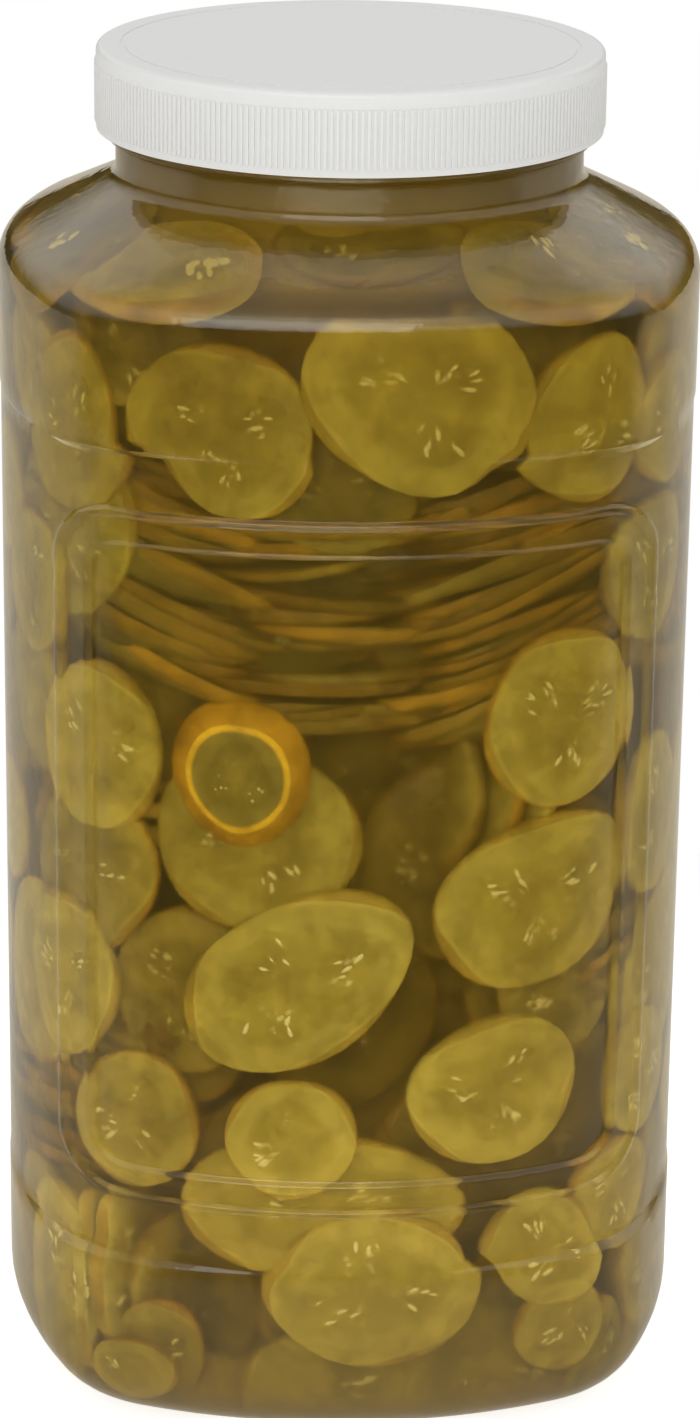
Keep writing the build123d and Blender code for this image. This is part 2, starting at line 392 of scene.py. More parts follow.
def bottle_rows():
    """Rows of the bottle's skin: underside, outside, rim, inside and inner floor."""
    rows = [
        (PUSH_UP_DEPTH, PUSH_UP_RADIUS - PUSH_UP_DEPTH, PUSH_UP_RADIUS - PUSH_UP_DEPTH, False),
        (0.0, PUSH_UP_RADIUS, PUSH_UP_RADIUS, False),
    ]
    for step in range(HEEL_STEPS):
        rows.append((*heel_section(pi / 2 * step / HEEL_STEPS, 0.0), False))
    for height in waist_heights():
        rows.append((height, *section_at(height), LOWER_LINE < height < UPPER_LINE))
    rows += [(*section, False) for section in SHOULDER]
    bead_top = LID_BOTTOM - BEAD_GAP
    bead_bottom = bead_top - BEAD_HEIGHT
    bead = ((0.0, 0.0), (0.25, 0.6), (0.6, 0.9), (1.15, 1.0), (1.7, 0.9), (2.05, 0.6), (2.3, 0.0))
    for up, out in bead:
        radius = mix(NECK_RADIUS, BEAD_RADIUS, out)
        rows.append((bead_bottom + up, radius, radius, False))
    for thread in (1, 0):
        middle = RIM_TOP - THREAD_TOP - THREAD_PITCH * thread
        for up, radius in zip((-1, -0.25, 0.25, 1), (NECK_RADIUS, THREAD_RADIUS, THREAD_RADIUS, NECK_RADIUS)):
            rows.append((middle + up * THREAD_HEIGHT, radius, radius, False))
    inner_neck = NECK_RADIUS - NECK_WALL
    rows.append((RIM_TOP, NECK_RADIUS, NECK_RADIUS, False))
    rows.append((RIM_TOP, inner_neck, inner_neck, False))
    rows.append((NECK_ROOT, inner_neck, inner_neck, False))
    return rows + inner_rows(WALL, FLOOR)[::-1]


def brine_rows(overlap):
    """Rows of the brine's skin, which reaches into the wall by overlap."""
    rows = inner_rows(WALL - overlap, FLOOR - overlap)
    neck = NECK_RADIUS - NECK_WALL + overlap
    rows.append((NECK_ROOT, neck, neck, False))
    rows.append((BRINE_LEVEL, neck, neck, False))
    return rows


# Walking along the inside of the wall

INNER_HALF_WIDTH = WAIST_HALF_WIDTH - WALL
INNER_FACE_RADIUS = WAIST_FACE_RADIUS - WALL
INNER_CORNER_RADIUS, INNER_CORNER_CENTRE = corner_of(INNER_HALF_WIDTH, INNER_FACE_RADIUS)
FACE_ARC = INNER_FACE_RADIUS * BLEND
CORNER_ARC = INNER_CORNER_RADIUS * (pi / 2 - 2 * BLEND)
QUARTER_ARC = 2 * FACE_ARC + CORNER_ARC


def bearing_of_arc(arc):
    """Bearing at a distance along the inside of the wall, from the middle of the front."""
    side = floor((arc + QUARTER_ARC / 2) / QUARTER_ARC)
    local = arc - side * QUARTER_ARC
    if abs(local) <= FACE_ARC:
        bearing = local / INNER_FACE_RADIUS
    else:
        bearing = copysign(BLEND + (abs(local) - FACE_ARC) / INNER_CORNER_RADIUS, local)
    return side * pi / 2 + bearing


def arc_of_x(x):
    """Distance along the inside of the front wall to the point that lies at x."""
    face_reach = INNER_FACE_RADIUS * sin(BLEND)
    if abs(x) <= face_reach:
        return copysign(INNER_FACE_RADIUS * atan2(abs(x), sqrt(INNER_FACE_RADIUS ** 2 - x * x)), x)
    part = min((abs(x) - INNER_CORNER_CENTRE) / INNER_CORNER_RADIUS, 0.999)
    angle = atan2(part, sqrt(1 - part * part))
    return copysign(FACE_ARC + (angle - BLEND) * INNER_CORNER_RADIUS, x)


def kept_inside(point, gap):
    """Point moved in, where needed, to stay a gap away from the bottle's inner wall and floor."""
    x, y, z = point
    z = min(max(z, FLOOR + gap), BRINE_LEVEL - gap)
    half_width, face_radius = section_at(z)
    half_width, face_radius = half_width - WALL - gap, face_radius - WALL - gap
    across, away = sorted((abs(x), abs(y)))
    centre_x, centre_y, radius = 0.0, half_width - face_radius, face_radius
    if atan2(across, away - centre_y) > BLEND:
        radius, centre_x = corner_of(half_width, face_radius)
        centre_y = centre_x
    reach = hypot(across - centre_x, away - centre_y)
    if reach > radius:
        across = centre_x + (across - centre_x) * radius / reach
        away = centre_y + (away - centre_y) * radius / reach
        small, large = (across, away) if abs(x) < abs(y) else (away, across)
        x, y = copysign(small, x), copysign(large, y)
    return Vector((x, y, z))


# Lumps of the core under the slices
CORE_GRAIN = 60
CORE_LUMP = 1.5


# Slices

SLICE_FLATNESS = 0.18
WALL_GAP = 0.5
FINE_DEPTH = 4.0
STACK_WINDOW = 24
STACK_GAP = (4.2, 6.5)

# Waves round a slice's rim, with their share of its radius
RIM_WAVES = ((2, 0.02), (3, 0.022), (5, 0.01))
# Hollow in the middle of each face, and its roughness
HOLLOW = 0.35
HOLLOW_REACH = 0.62
FACE_ROUGHNESS = 0.22
FACE_GRAIN = 2.2
FACE_START = 0.04
SEED_SINK = 0.25


def slice_master(segments, rim_segments, widths):
    """Round slice of radius 1, with rounded rims and rings of points across its two faces."""
    bm = bmesh.new()
    bmesh.ops.create_cone(
        bm, cap_ends=True, segments=segments, radius1=1, radius2=1, depth=SLICE_FLATNESS
    )
    rims = [edge for edge in bm.edges if abs(edge.verts[0].co.z - edge.verts[1].co.z) < 1e-5]
    bmesh.ops.bevel(
        bm, geom=rims, offset=0.05, segments=rim_segments, profile=0.5, affect="EDGES", material=-1
    )
    caps = [face for face in bm.faces if len(face.verts) > 8]
    for width in widths:
        bmesh.ops.inset_individual(bm, faces=caps, thickness=width)
    bmesh.ops.poke(bm, faces=caps)
    return bm


def seed_master():
    """Small seed of length 1 along x, pointed at one end."""
    bm = bmesh.new()
    bmesh.ops.create_uvsphere(bm, u_segments=7, v_segments=4, radius=0.5)
    for vert in bm.verts:
        taper = 1 - 0.45 * ease(vert.co.x + 0.5)
        vert.co.y *= 0.46 * taper
        vert.co.z *= 0.3
    return bm


class Heap:
    """Joined mesh of slices, and the joined mesh of the seeds that show in them."""

    def __init__(self, thickness, seed_length, randomness):
        self.thickness = thickness
        self.seed_length = seed_length
        self.random = random.Random(randomness)
        self.slices = bmesh.new()
        self.seeds = bmesh.new()
        self.fine_mesh = self.kept_master(slice_master(30, 2, (0.12, 0.22, 0.25)))
        self.plain_mesh = self.kept_master(slice_master(22, 1, (0.35,)))
        self.seed_mesh = self.kept_master(seed_master())
        self.face_uv = self.slices.loops.layers.uv.new("face")
        self.grade_uv = self.slices.loops.layers.uv.new("grade")

    @staticmethod
    def kept_master(bm):
        """Mesh that keeps a master shape."""
        mesh = bpy.data.meshes.new("master")
        bm.to_mesh(mesh)
        bm.free()
        return mesh

    def add_slice(self, place, width, height, tone, groups, sides=(1,), fine=True,
                  bulk=1.0, taper=0.0, rim=0.0):
        """Adds one slice. place turns a point on the slice, in millimetres, into a point in the jar."""
        rand = self.random
        phases = [rand.uniform(0, 2 * pi) for _ in range(4)]
        spin = rand.uniform(0, 2 * pi)
        thick = bulk * self.thickness * rand.uniform(0.85, 1.15) / SLICE_FLATNESS
        rim = max(rim, 0.8 * rand.random() ** 2)
        lump = Vector((rand.uniform(0, 50), rand.uniform(0, 50), 0))
        known = len(self.slices.verts)
        known_faces = len(self.slices.faces)
        self.slices.from_mesh(self.fine_mesh if fine else self.plain_mesh)
        self.slices.verts.ensure_lookup_table()
        self.slices.faces.ensure_lookup_table()
        flat = {}
        for vert in self.slices.verts[known:]:
            x, y, z = vert.co
            flat[vert] = (x, y)
            angle = atan2(y, x)
            wobble = 1
            for (waves, share), phase in zip(RIM_WAVES, phases):
                wobble += share * sin(waves * angle + phase)
            wobble *= 1 - taper * ease(0.5 + z / SLICE_FLATNESS)
            sunk = HOLLOW * ease(1 - hypot(x, y) / HOLLOW_REACH)
            rough = FACE_ROUGHNESS * noise.noise(Vector((x * FACE_GRAIN, y * FACE_GRAIN, 0)) + lump)
            rise = z * thick + (copysign(rough - sunk, z) if abs(z) > FACE_START else 0)
            vert.co = place(Vector((x * wobble * width / 2, y * wobble * height / 2, rise))) * MM
        turned = Matrix.Rotation(spin, 2)
        for face in self.slices.faces[known_faces:]:
            for loop in face.loops:
                loop[self.face_uv].uv = turned @ Vector(flat[loop.vert])
                loop[self.grade_uv].uv = (rim, tone)
        for side in sides:
            self.add_seeds(place, width, height, thick * SLICE_FLATNESS / 2, groups, side, -spin)

    def add_seeds(self, place, width, height, face_height, groups, side, spin):
        """Adds the three-part groups of seeds that show in one face of a slice."""
        rand = self.random
        for group in range(groups):
            middle = spin + group * 2 * pi / 3 + rand.uniform(-0.15, 0.15)
            for number in range(rand.randint(4, 7)):
                angle = middle + rand.uniform(-0.42, 0.42)
                out = rand.uniform(0.24, 0.6)
                point = Vector((cos(angle) * out * width / 2, sin(angle) * out * height / 2, 0))
                length = self.seed_length * rand.uniform(0.75, 1.2)
                turned = Matrix.Rotation(angle + rand.uniform(-0.5, 0.5) + pi, 3, "Z")
                known = len(self.seeds.verts)
                self.seeds.from_mesh(self.seed_mesh)
                self.seeds.verts.ensure_lookup_table()
                for vert in self.seeds.verts[known:]:
                    local = turned @ (vert.co * length) + point
                    local.z = side * (face_height - SEED_SINK + local.z)
                    vert.co = place(local) * MM

    def on_wall(self, arc, height, width, tall, depth, lean, swing, turn, tone, groups, **form):
        """Slice lying against the wall, bending with it."""
        reach = abs(lean) * tall / 2 + abs(swing) * width / 2
        contact = self.thickness * 0.58 + WALL_GAP + reach + depth
        turned = Matrix.Rotation(turn, 3, "Z")

        def place(point):
            point = turned @ point
            level = min(max(height + point.y, FLOOR + 1.5), SHOULDER_START + 1.5)
            half_width, face_radius = section_at(level)
            inset = WALL + max(contact + lean * point.y + swing * point.x - point.z, WALL_GAP)
            bearing = bearing_of_arc(arc + point.x)
            x, y = plan_point(bearing, half_width - inset, face_radius - inset)
            return Vector((x, y, level))

        self.add_slice(place, width, tall, tone, groups, fine=depth < FINE_DEPTH, **form)

    def free(self, middle, axes, width, tall, tone, groups, sides=(1, -1), sag=0.0, gap=WALL_GAP, **form):
        """Slice lying anywhere, kept a gap inside the wall; sag lifts its left and right ends."""

        def place(point):
            lifted = Vector((point.x, point.y, point.z + sag * (2 * point.x / width) ** 2))
            return kept_inside(middle + axes @ lifted, gap)

        self.add_slice(place, width, tall, tone, groups, sides, **form)

    def finished(self):
        """Objects of the slices and of the seeds."""
        for mesh in (self.fine_mesh, self.plain_mesh, self.seed_mesh):
            bpy.data.meshes.remove(mesh)
        slices = finish_mesh(self.slices, "pickle_slices", 60)
        seeds = finish_mesh(self.seeds, "pickle_seeds", 80)
        return slices, seeds


def facing(bearing, lift):
    """Axes of a slice whose face looks along a bearing, lifted from level by an angle."""
    return Matrix.Rotation(bearing, 3, "Z") @ Matrix.Rotation(pi / 2 - lift, 3, "X")


def lay_front(heap):
    """Slices that show through the front, as chosen one by one."""
    for x, height, width, tall, depth, lean, swing, turn, tone, groups in FRONT_SLICES:
        heap.on_wall(arc_of_x(x), height, width, tall, depth, lean, swing, turn, tone, groups)
    x, height, width, tall, depth, tone = END_SLICE
    heap.on_wall(
        arc_of_x(x), height, width, tall, depth, 0, 0, 0, tone, 0,
        bulk=END_BULK, taper=END_TAPER, rim=1.0,
    )
    for x, y, low, high, width, tip, roll, count in EDGE_STACKS:
        lay_stack(heap, Vector((x, y, 0)), 0, low, high, width, tip, roll, count)
    for x, height, width, swing, tone in LEANING_SLICES:
        axes = facing(swing, 0.05)
        heap.free(Vector((x, LEANING_Y, height)), axes, width * LEANING_SHAPE, width, tone, 2)


def lay_stack(heap, foot, bearing, low, high, width, tip, roll, count):
    """Stack of nearly level slices, whose edges show."""
    rand = heap.random
    turn = Matrix.Rotation(bearing, 3, "Z")
    for number in range(count):
        part = number / max(count - 1, 1)
        height = mix(low, high, part) + rand.uniform(-0.9, 0.9)
        shift = Vector((rand.uniform(-6, 6), rand.uniform(-2, 2), 0))
        tipped = Matrix.Rotation(tip + rand.uniform(-0.08, 0.08), 3, "X")
        rolled = Matrix.Rotation(roll + rand.uniform(-0.1, 0.1), 3, "Y")
        middle = turn @ (foot + shift) + Vector((0, 0, height))
        size = width * rand.uniform(0.62, 1.1)
        # Deep tones: partly painted shade, so that the stack's faces read as shaded gaps
        tone = rand.uniform(0.7, 1.0)
        sag = size * rand.uniform(0.04, 0.12)
        tall = size * rand.uniform(0.85, 1)
        axes = turn @ tipped @ rolled
        bulk = rand.uniform(0.6, 1.0)
        gap = rand.uniform(*STACK_GAP)
        heap.free(middle, axes, size, tall, tone, 0, (), sag, gap, fine=False, bulk=bulk)


def lay_sides(heap):
    """Stacks whose edges show through the other three sides."""
    for side, along, low, high, roll, count in SIDE_STACKS:
        foot = Vector((along, SIDE_STACK_Y, 0))
        lay_stack(heap, foot, side * pi / 2, low, high, SIDE_STACK_WIDTH, SIDE_STACK_TIP, roll, count)


def before_stack(arc, height):
    """Whether a place on the wall has one of the side stacks behind it."""
    for side, along, low, high, *_ in SIDE_STACKS:
        if abs(arc - side * QUARTER_ARC - along) < STACK_WINDOW and low - 4 < height < high + 4:
            return True
    return False


def lay_wall(heap, first_arc, last_arc, low, high, pitch, depth, sizes, tones, groups):
    """Uneven rows of slices along the wall between two places."""
    rand = heap.random
    rows = round((high - low) / pitch)
    for row in range(rows):
        count = round((last_arc - first_arc) / (max(pitch, 30) * 1.1))
        for number in range(count):
            offset = 0.5 + (0.5 if row % 2 else 0.0)
            arc = mix(first_arc, last_arc, (number + offset) / count) + rand.uniform(-4, 4)
            height = mix(low, high, (row + 0.5) / rows) + rand.uniform(-5, 5)
            width = rand.uniform(*sizes)
            tall = width * rand.uniform(0.74, 1.05)
            if before_stack(arc, height):
                continue
            heap.on_wall(
                arc, height, width, tall, rand.uniform(*depth), rand.uniform(-0.12, 0.12),
                rand.uniform(-0.1, 0.1), rand.uniform(0, pi), rand.uniform(*tones), groups,
            )


def lay_shoulder(heap):
    """Slices lying on the slope under the shoulder, and across the neck."""
    rand = heap.random
    for x, y, height, size, slimness, lift, tone in SHOULDER_SLICES:
        axes = facing(atan2(x, -y), lift)
        heap.free(Vector((x, y, height)), axes, size, size * slimness, tone, 1, (1,))
    ring = 11
    for number in range(ring):
        bearing = mix(0.95, 2 * pi - 0.95, number / (ring - 1)) + rand.uniform(-0.1, 0.1)
        corner = abs(sin(2 * bearing))
        away = 50 + 9 * corner + rand.uniform(-4, 2)
        middle = Vector((sin(bearing) * away, -cos(bearing) * away, 246 - 4 * corner))
        axes = facing(bearing, radians(58) + rand.uniform(-0.3, 0.3))
        size = rand.uniform(30, 42)
        heap.free(middle, axes, size, size * rand.uniform(0.6, 0.85), rand.uniform(0.3, 0.8), 1, (1,))
    for number in range(9):
        bearing = rand.uniform(0, 2 * pi)
        away = rand.uniform(8, 26)
        middle = Vector((sin(bearing) * away, -cos(bearing) * away, 250 + 1.6 * number))
        axes = facing(bearing, radians(rand.uniform(65, 90)))
        heap.free(middle, axes, rand.uniform(30, 42), rand.uniform(28, 38), 0.5, 3, (1,))


def lay_floor(heap):
    """Slices lying on the bottle's floor."""
    rand = heap.random
    for number in range(14):
        bearing = rand.uniform(0, 2 * pi)
        away = rand.uniform(4, 42)
        middle = Vector((sin(bearing) * away, -cos(bearing) * away, 5 + 2.2 * (number % 3)))
        axes = Matrix.Rotation(rand.uniform(-0.06, 0.06), 3, "X")
        heap.free(middle, axes, rand.uniform(34, 46), rand.uniform(30, 42), 0.5, 3, (-1,))


# Shading

# Distances in metres that follow the bottle: its walls, shoulder slope and neck
WALL_REACH = 0.0695
SQUARENESS = 3
SLOPE_TOP = 0.278
SLOPE_FALL = 0.543
NECK_REACH = 0.0459
RAMP_HEIGHT = 0.25
SLICE_REACH = 0.022
CORE_REACH = 0.035

# Tint by depth behind the wall, as a share of the reach, and painted light and shade by height, as a share of
# the ramp's height
DEPTH_TINTS = (
    (0.0, (1, 1, 1)), (0.2, (0.9, 0.86, 0.7)), (0.5, (0.52, 0.43, 0.22)), (1.0, (0.27, 0.18, 0.045)),
)
# Painted light and shade by height: darker at the bottom and under the shoulder, brightest low on the body
HEIGHT_TINTS = (
    (0.05, (0.88, 0.8, 0.7)), (0.18, (1.5, 1.46, 1.65)), (0.45, (1.3, 1.3, 1.5)),
    (0.75, (1, 0.99, 0.9)), (0.93, (0.86, 0.77, 0.5)),
)

# Colours of a slice from its middle to its skin
PALE_FLESH = (
    (0.0, (0.5, 0.4, 0.07)), (0.3, (0.46, 0.37, 0.058)), (0.6, (0.45, 0.365, 0.055)),
    (0.76, (0.58, 0.48, 0.095)), (0.93, (0.55, 0.455, 0.08)), (0.985, (0.66, 0.55, 0.12)),
    (1.0, (0.43, 0.31, 0.04)),
)
# Deep amber flesh, partly painted shade: its dark faces make stacked slices read as shaded gaps, and its
# lighter rim is a painted highlight on their edges
DEEP_FLESH = (
    (0.0, (0.12, 0.08, 0.008)), (0.6, (0.09, 0.058, 0.005)), (0.8, (0.12, 0.08, 0.008)),
    (0.95, (0.15, 0.095, 0.009)), (1.0, (0.2, 0.115, 0.009)),
)
ORANGE_SKIN = (0.5, 0.27, 0.015)
BRIGHT_RING = (0.7, 0.43, 0.025)
SEEDY_FLESH = (0.74, 0.65, 0.25)
LEAST_ALPHA = 0.42

BRINE_TINT = (0.985, 0.93, 0.69)
# Faint amber emission of the brine: painted glow that stands for light scattered in it
BRINE_HAZE = (0.026, 0.017, 0.0012)
SEED_COLOURS = ((0.85, 0.76, 0.32), (0.64, 0.56, 0.18))
CORE_COLOURS = ((0.42, 0.3, 0.04), (0.2, 0.13, 0.014))
LID_COLOURS = ((0.79, 0.79, 0.77), (0.83, 0.83, 0.815))


def node(tree, kind, **settings):
    """New node of that kind, with its settings and inputs given by name."""
    made = tree.nodes.new(kind)
    for name, value in settings.items():
        if hasattr(made, name):
            setattr(made, name, value)
        else:
            made.inputs[name.replace("_", " ")].default_value = value
    return made


def new_material(name):
    """Material with an empty node tree and its output."""
    material = bpy.data.materials.new(name)
    material.use_nodes = True
    tree = material.node_tree
    tree.nodes.clear()
    return material, tree, tree.nodes.new("ShaderNodeOutputMaterial")


def give(piece, material):
    """Puts the material on the piece."""
    if piece.data.materials:
        piece.data.materials[0] = material
    else:
        piece.data.materials.append(material)


def feed(tree, socket, value):
    """Links an output to the socket, or sets a number or colour there."""
    if isinstance(value, bpy.types.NodeSocket):
        tree.links.new(value, socket)
    else:
        socket.default_value = (*value, 1) if isinstance(value, tuple) else value


def maths(tree, operation, *values, clamp=False):
    """Output of a maths node with those values."""
    made = node(tree, "ShaderNodeMath", operation=operation, use_clamp=clamp)
    for socket, value in zip(made.inputs, values):
        feed(tree, socket, value)
    return made.outputs[0]


def multiply(tree, first, second):
    """Colour output of first times second."""
    made = node(tree, "ShaderNodeMix", data_type="RGBA", blend_type="MULTIPLY")
    made.inputs[0].default_value = 1
    tree.links.new(first, made.inputs[6])
    tree.links.new(second, made.inputs[7])
    return made.outputs[2]


def blended(tree, share, first, second):
    """Colour output that goes from first to second by share."""
    made = node(tree, "ShaderNodeMix", data_type="RGBA")
    for number, value in ((0, share), (6, first), (7, second)):
        feed(tree, made.inputs[number], value)
    return made.outputs[2]


def mixed(tree, share, first, second):
    """Shader output that goes from first to second by share."""
    made = node(tree, "ShaderNodeMixShader")
    for socket, value in zip(made.inputs, (share, first.outputs[0], second.outputs[0])):
        tree.links.new(value, socket)
    return made


def ramp(tree, share, stops):
    """Colour output of a ramp by share, with stops of a colour or a grey."""
    made = tree.nodes.new("ShaderNodeValToRGB")
    elements = made.color_ramp.elements
    while len(elements) > 1:
        elements.remove(elements[-1])
    for number, (position, colour) in enumerate(stops):
        element = elements[0] if number == 0 else elements.new(position)
        element.position = position
        element.color = (*colour, 1) if isinstance(colour, tuple) else (colour, colour, colour, 1)
    tree.links.new(share, made.inputs[0])
    return made.outputs[0]


def ranged(tree, value, low, high, end=1.0, interpolation="LINEAR"):
    """Output that goes from 0 to end as the value goes from low to high."""
    made = node(tree, "ShaderNodeMapRange", interpolation_type=interpolation)
    for name, setting in (("From Min", low), ("From Max", high), ("To Min", 0.0), ("To Max", end)):
        made.inputs[name].default_value = setting
    tree.links.new(value, made.inputs["Value"])
    return made.outputs["Result"]


def length_of(tree, vector):
    """Output with the vector's length."""
    made = node(tree, "ShaderNodeVectorMath", operation="LENGTH")
    tree.links.new(vector, made.inputs[0])
    return made.outputs["Value"]


def parts_of(tree, vector):
    """Outputs X, Y and Z of a vector."""
    made = node(tree, "ShaderNodeSeparateXYZ")
    tree.links.new(vector, made.inputs[0])
    return made.outputs


def grain_of(tree, place, scale, detail):
    """Noise at a place."""
    made = node(tree, "ShaderNodeTexNoise", Scale=scale, Detail=detail)
    tree.links.new(place, made.inputs["Vector"])
    return made.outputs[0]


def object_place(tree):
    """Object coordinates."""
    return node(tree, "ShaderNodeTexCoord").outputs["Object"]


def roughen(tree, shader, height, strength, distance):
    """Bumps on the shader by a height output."""
    bump = node(tree, "ShaderNodeBump", Strength=strength, Distance=distance)
    tree.links.new(height, bump.inputs["Height"])
    tree.links.new(bump.outputs[0], shader.inputs["Normal"])


def depth_group():
    """Node group: the tint that brine gives to what lies deeper behind the wall, times painted light and
    shade by height.
    """
    name = "Brine depth tint"
    if name in bpy.data.node_groups:
        return bpy.data.node_groups[name]
    group = bpy.data.node_groups.new(name, "ShaderNodeTree")
    socket = group.interface.new_socket("Reach", in_out="INPUT", socket_type="NodeSocketFloat")
    socket.default_value = SLICE_REACH
    group.interface.new_socket("Tint", in_out="OUTPUT", socket_type="NodeSocketColor")
    start = group.nodes.new("NodeGroupInput")
    end = group.nodes.new("NodeGroupOutput")
    parts = parts_of(group, object_place(group))
    powers = [maths(group, "POWER", maths(group, "ABSOLUTE", parts[axis]), SQUARENESS) for axis in "XY"]
    outwards = maths(group, "POWER", maths(group, "ADD", *powers), 1 / SQUARENESS)
    behind_wall = maths(group, "SUBTRACT", WALL_REACH, outwards)
    slope = maths(group, "MULTIPLY_ADD", outwards, -SLOPE_FALL, SLOPE_TOP)
    under_slope = maths(group, "SUBTRACT", slope, parts["Z"])
    in_neck = maths(group, "SUBTRACT", NECK_REACH, outwards)
    from_top = maths(group, "MAXIMUM", under_slope, in_neck)
    nearest = maths(group, "MINIMUM", behind_wall, from_top)
    share = maths(group, "DIVIDE", nearest, start.outputs["Reach"], clamp=True)
    by_depth = ramp(group, share, DEPTH_TINTS)
    # Painted light and shade by height, multiplied into the brine tint
    by_height = ramp(group, maths(group, "MULTIPLY", parts["Z"], 1 / RAMP_HEIGHT), HEIGHT_TINTS)
    group.links.new(multiply(group, by_depth, by_height), end.inputs["Tint"])
    return group


def depth_tint(tree, reach):
    """Tint output of the depth group: brine tint by depth, times painted light and shade by height."""
    depth = tree.nodes.new("ShaderNodeGroup")
    depth.node_tree = depth_group()
    depth.inputs["Reach"].default_value = reach
    return depth.outputs["Tint"]


def clear_material(name, ior, tint, roughness, gloss, wave_scale, wave_height, haze=(0, 0, 0)):
    """See-through material whose shadows let light through, and whose emission colour gives a painted glow.
    """
    material, tree, output = new_material(name)
    clear = node(
        tree, "ShaderNodeBsdfPrincipled", Base_Color=(*tint, 1), Roughness=roughness, IOR=ior, Metallic=0,
        Transmission_Weight=1, Specular_Tint=(gloss, gloss, gloss, 1), Emission_Color=(*haze, 1),
        Emission_Strength=1,
    )
    roughen(tree, clear, grain_of(tree, object_place(tree), wave_scale, 1.0), 1.0, wave_height)
    through = node(tree, "ShaderNodeBsdfTransparent", Color=(*tint, 1))
    path = node(tree, "ShaderNodeLightPath")
    lit = mixed(tree, path.outputs["Is Shadow Ray"], clear, through)
    tree.links.new(lit.outputs[0], output.inputs["Surface"])
    return material


def slice_material():
    """Pickle flesh: skin at the rim, firm ring, and a softer middle in three parts."""
    material, tree, output = new_material("pickle_flesh")
    face = node(tree, "ShaderNodeUVMap", uv_map="face").outputs[0]
    grades = parts_of(tree, node(tree, "ShaderNodeUVMap", uv_map="grade").outputs[0])
    parts = parts_of(tree, face)
    length = length_of(tree, face)
    angle = maths(tree, "ARCTAN2", parts["Y"], parts["X"])
    lobes = maths(tree, "COSINE", maths(tree, "MULTIPLY", angle, 3))
    place = object_place(tree)
    mottle = grain_of(tree, place, 520.0, 4.0)
    spread = maths(tree, "MULTIPLY_ADD", lobes, -0.07, length)
    ragged = maths(tree, "MULTIPLY_ADD", mottle, 0.06, spread)
    # Deep tone: deep amber flesh, partly painted shade and highlight on deeper and stacked slices
    pale, deep = (ramp(tree, ragged, stops) for stops in (PALE_FLESH, DEEP_FLESH))
    toned = blended(tree, grades["Y"], pale, deep)
    rim = ramp(tree, length, ((0.95, 0), (0.99, 1)))
    toned = blended(tree, maths(tree, "MULTIPLY", rim, grades["X"]), toned, ORANGE_SKIN)
    band = ramp(tree, length, ((0.84, 0), (0.9, 1), (0.97, 1), (0.985, 0)))
    ringed = ramp(tree, grades["X"], ((0.9, 0), (0.97, 1)))
    toned = blended(tree, multiply(tree, band, ringed), toned, BRIGHT_RING)
    clumps = node(tree, "ShaderNodeTexVoronoi", Scale=7.0)
    tree.links.new(face, clumps.inputs["Vector"])
    seedy = ramp(tree, clumps.outputs["Distance"], ((0.12, 1), (0.3, 0)))
    belt = ramp(tree, length, ((0.2, 0), (0.36, 1), (0.55, 1), (0.7, 0)))
    clumped = multiply(tree, multiply(tree, seedy, belt), ranged(tree, lobes, -0.2, 0.6))
    seeded = blended(tree, maths(tree, "MULTIPLY", clumped, 0.7), toned, SEEDY_FLESH)
    speckle = ramp(tree, mottle, ((0.25, (0.92, 0.91, 0.88)), (0.75, (1.06, 1.06, 1.04))))
    patches = grain_of(tree, place, 130.0, 2.0)
    patchy = ramp(tree, patches, ((0.3, (0.68, 0.66, 0.54)), (0.7, (1.2, 1.2, 1.16))))
    flecked = multiply(tree, multiply(tree, seeded, speckle), patchy)
    flesh = node(
        tree, "ShaderNodeBsdfPrincipled", Roughness=0.35, Metallic=0, IOR=1.38, Specular_IOR_Level=0.15,
        Subsurface_Weight=0.35, Subsurface_Radius=(1.0, 0.75, 0.2), Subsurface_Scale=0.004,
    )
    roughen(tree, flesh, mottle, 0.4, 0.0003)
    # Brine tint by depth, times painted light and shade by height
    colour = multiply(tree, flecked, depth_tint(tree, SLICE_REACH))
    tree.links.new(colour, flesh.inputs["Base Color"])
    alpha = maths(tree, "ADD", grades["Y"], LEAST_ALPHA, clamp=True)
    tree.links.new(alpha, flesh.inputs["Alpha"])
    tree.links.new(flesh.outputs[0], output.inputs["Surface"])
    return material


def tinted_material(name, colours, scale, roughness, reach):
    """Soft material between a light and a dark colour, tinted by how deep in the brine it lies and with
    painted light and shade by height.
    """
    material, tree, output = new_material(name)
    light, dark = colours
    patches = blended(tree, grain_of(tree, object_place(tree), scale, 3.0), dark, light)
    soft = node(
        tree, "ShaderNodeBsdfPrincipled", Roughness=roughness, Metallic=0, Specular_IOR_Level=0.15
    )
    tree.links.new(multiply(tree, patches, depth_tint(tree, reach)), soft.inputs["Base Color"])
    tree.links.new(soft.outputs[0], output.inputs["Surface"])
    return material


def lid_material():
    """Satin white plastic with a faint moulded grain."""
    material, tree, output = new_material("lid_white")
    grain = grain_of(tree, object_place(tree), 900.0, 2.0)
    plastic = node(tree, "ShaderNodeBsdfPrincipled", Roughness=0.42, Metallic=0)
    roughen(tree, plastic, grain, 0.25, 0.00008)
    tree.links.new(blended(tree, grain, *LID_COLOURS), plastic.inputs["Base Color"])
    tree.links.new(plastic.outputs[0], output.inputs["Surface"])
    return material


# Settings

class PickleJarBottle(bpy.types.PropertyGroup):
    """Bottle and brine."""

    frame_height: FloatProperty(
        name="Frame height", description="How far the frame stands out, in millimetres",
        default=0.85, min=0.1, max=1.0)
    panel_depth: FloatProperty(
        name="Panel depth", description="How far the label panel is sunk, in millimetres",
        default=0.7, min=0.0, max=1.0)
    overlap: FloatProperty(
        name="Brine overlap", description="How far the brine reaches into the wall, in millimetres",
        default=0.3, min=0.1, max=0.8)


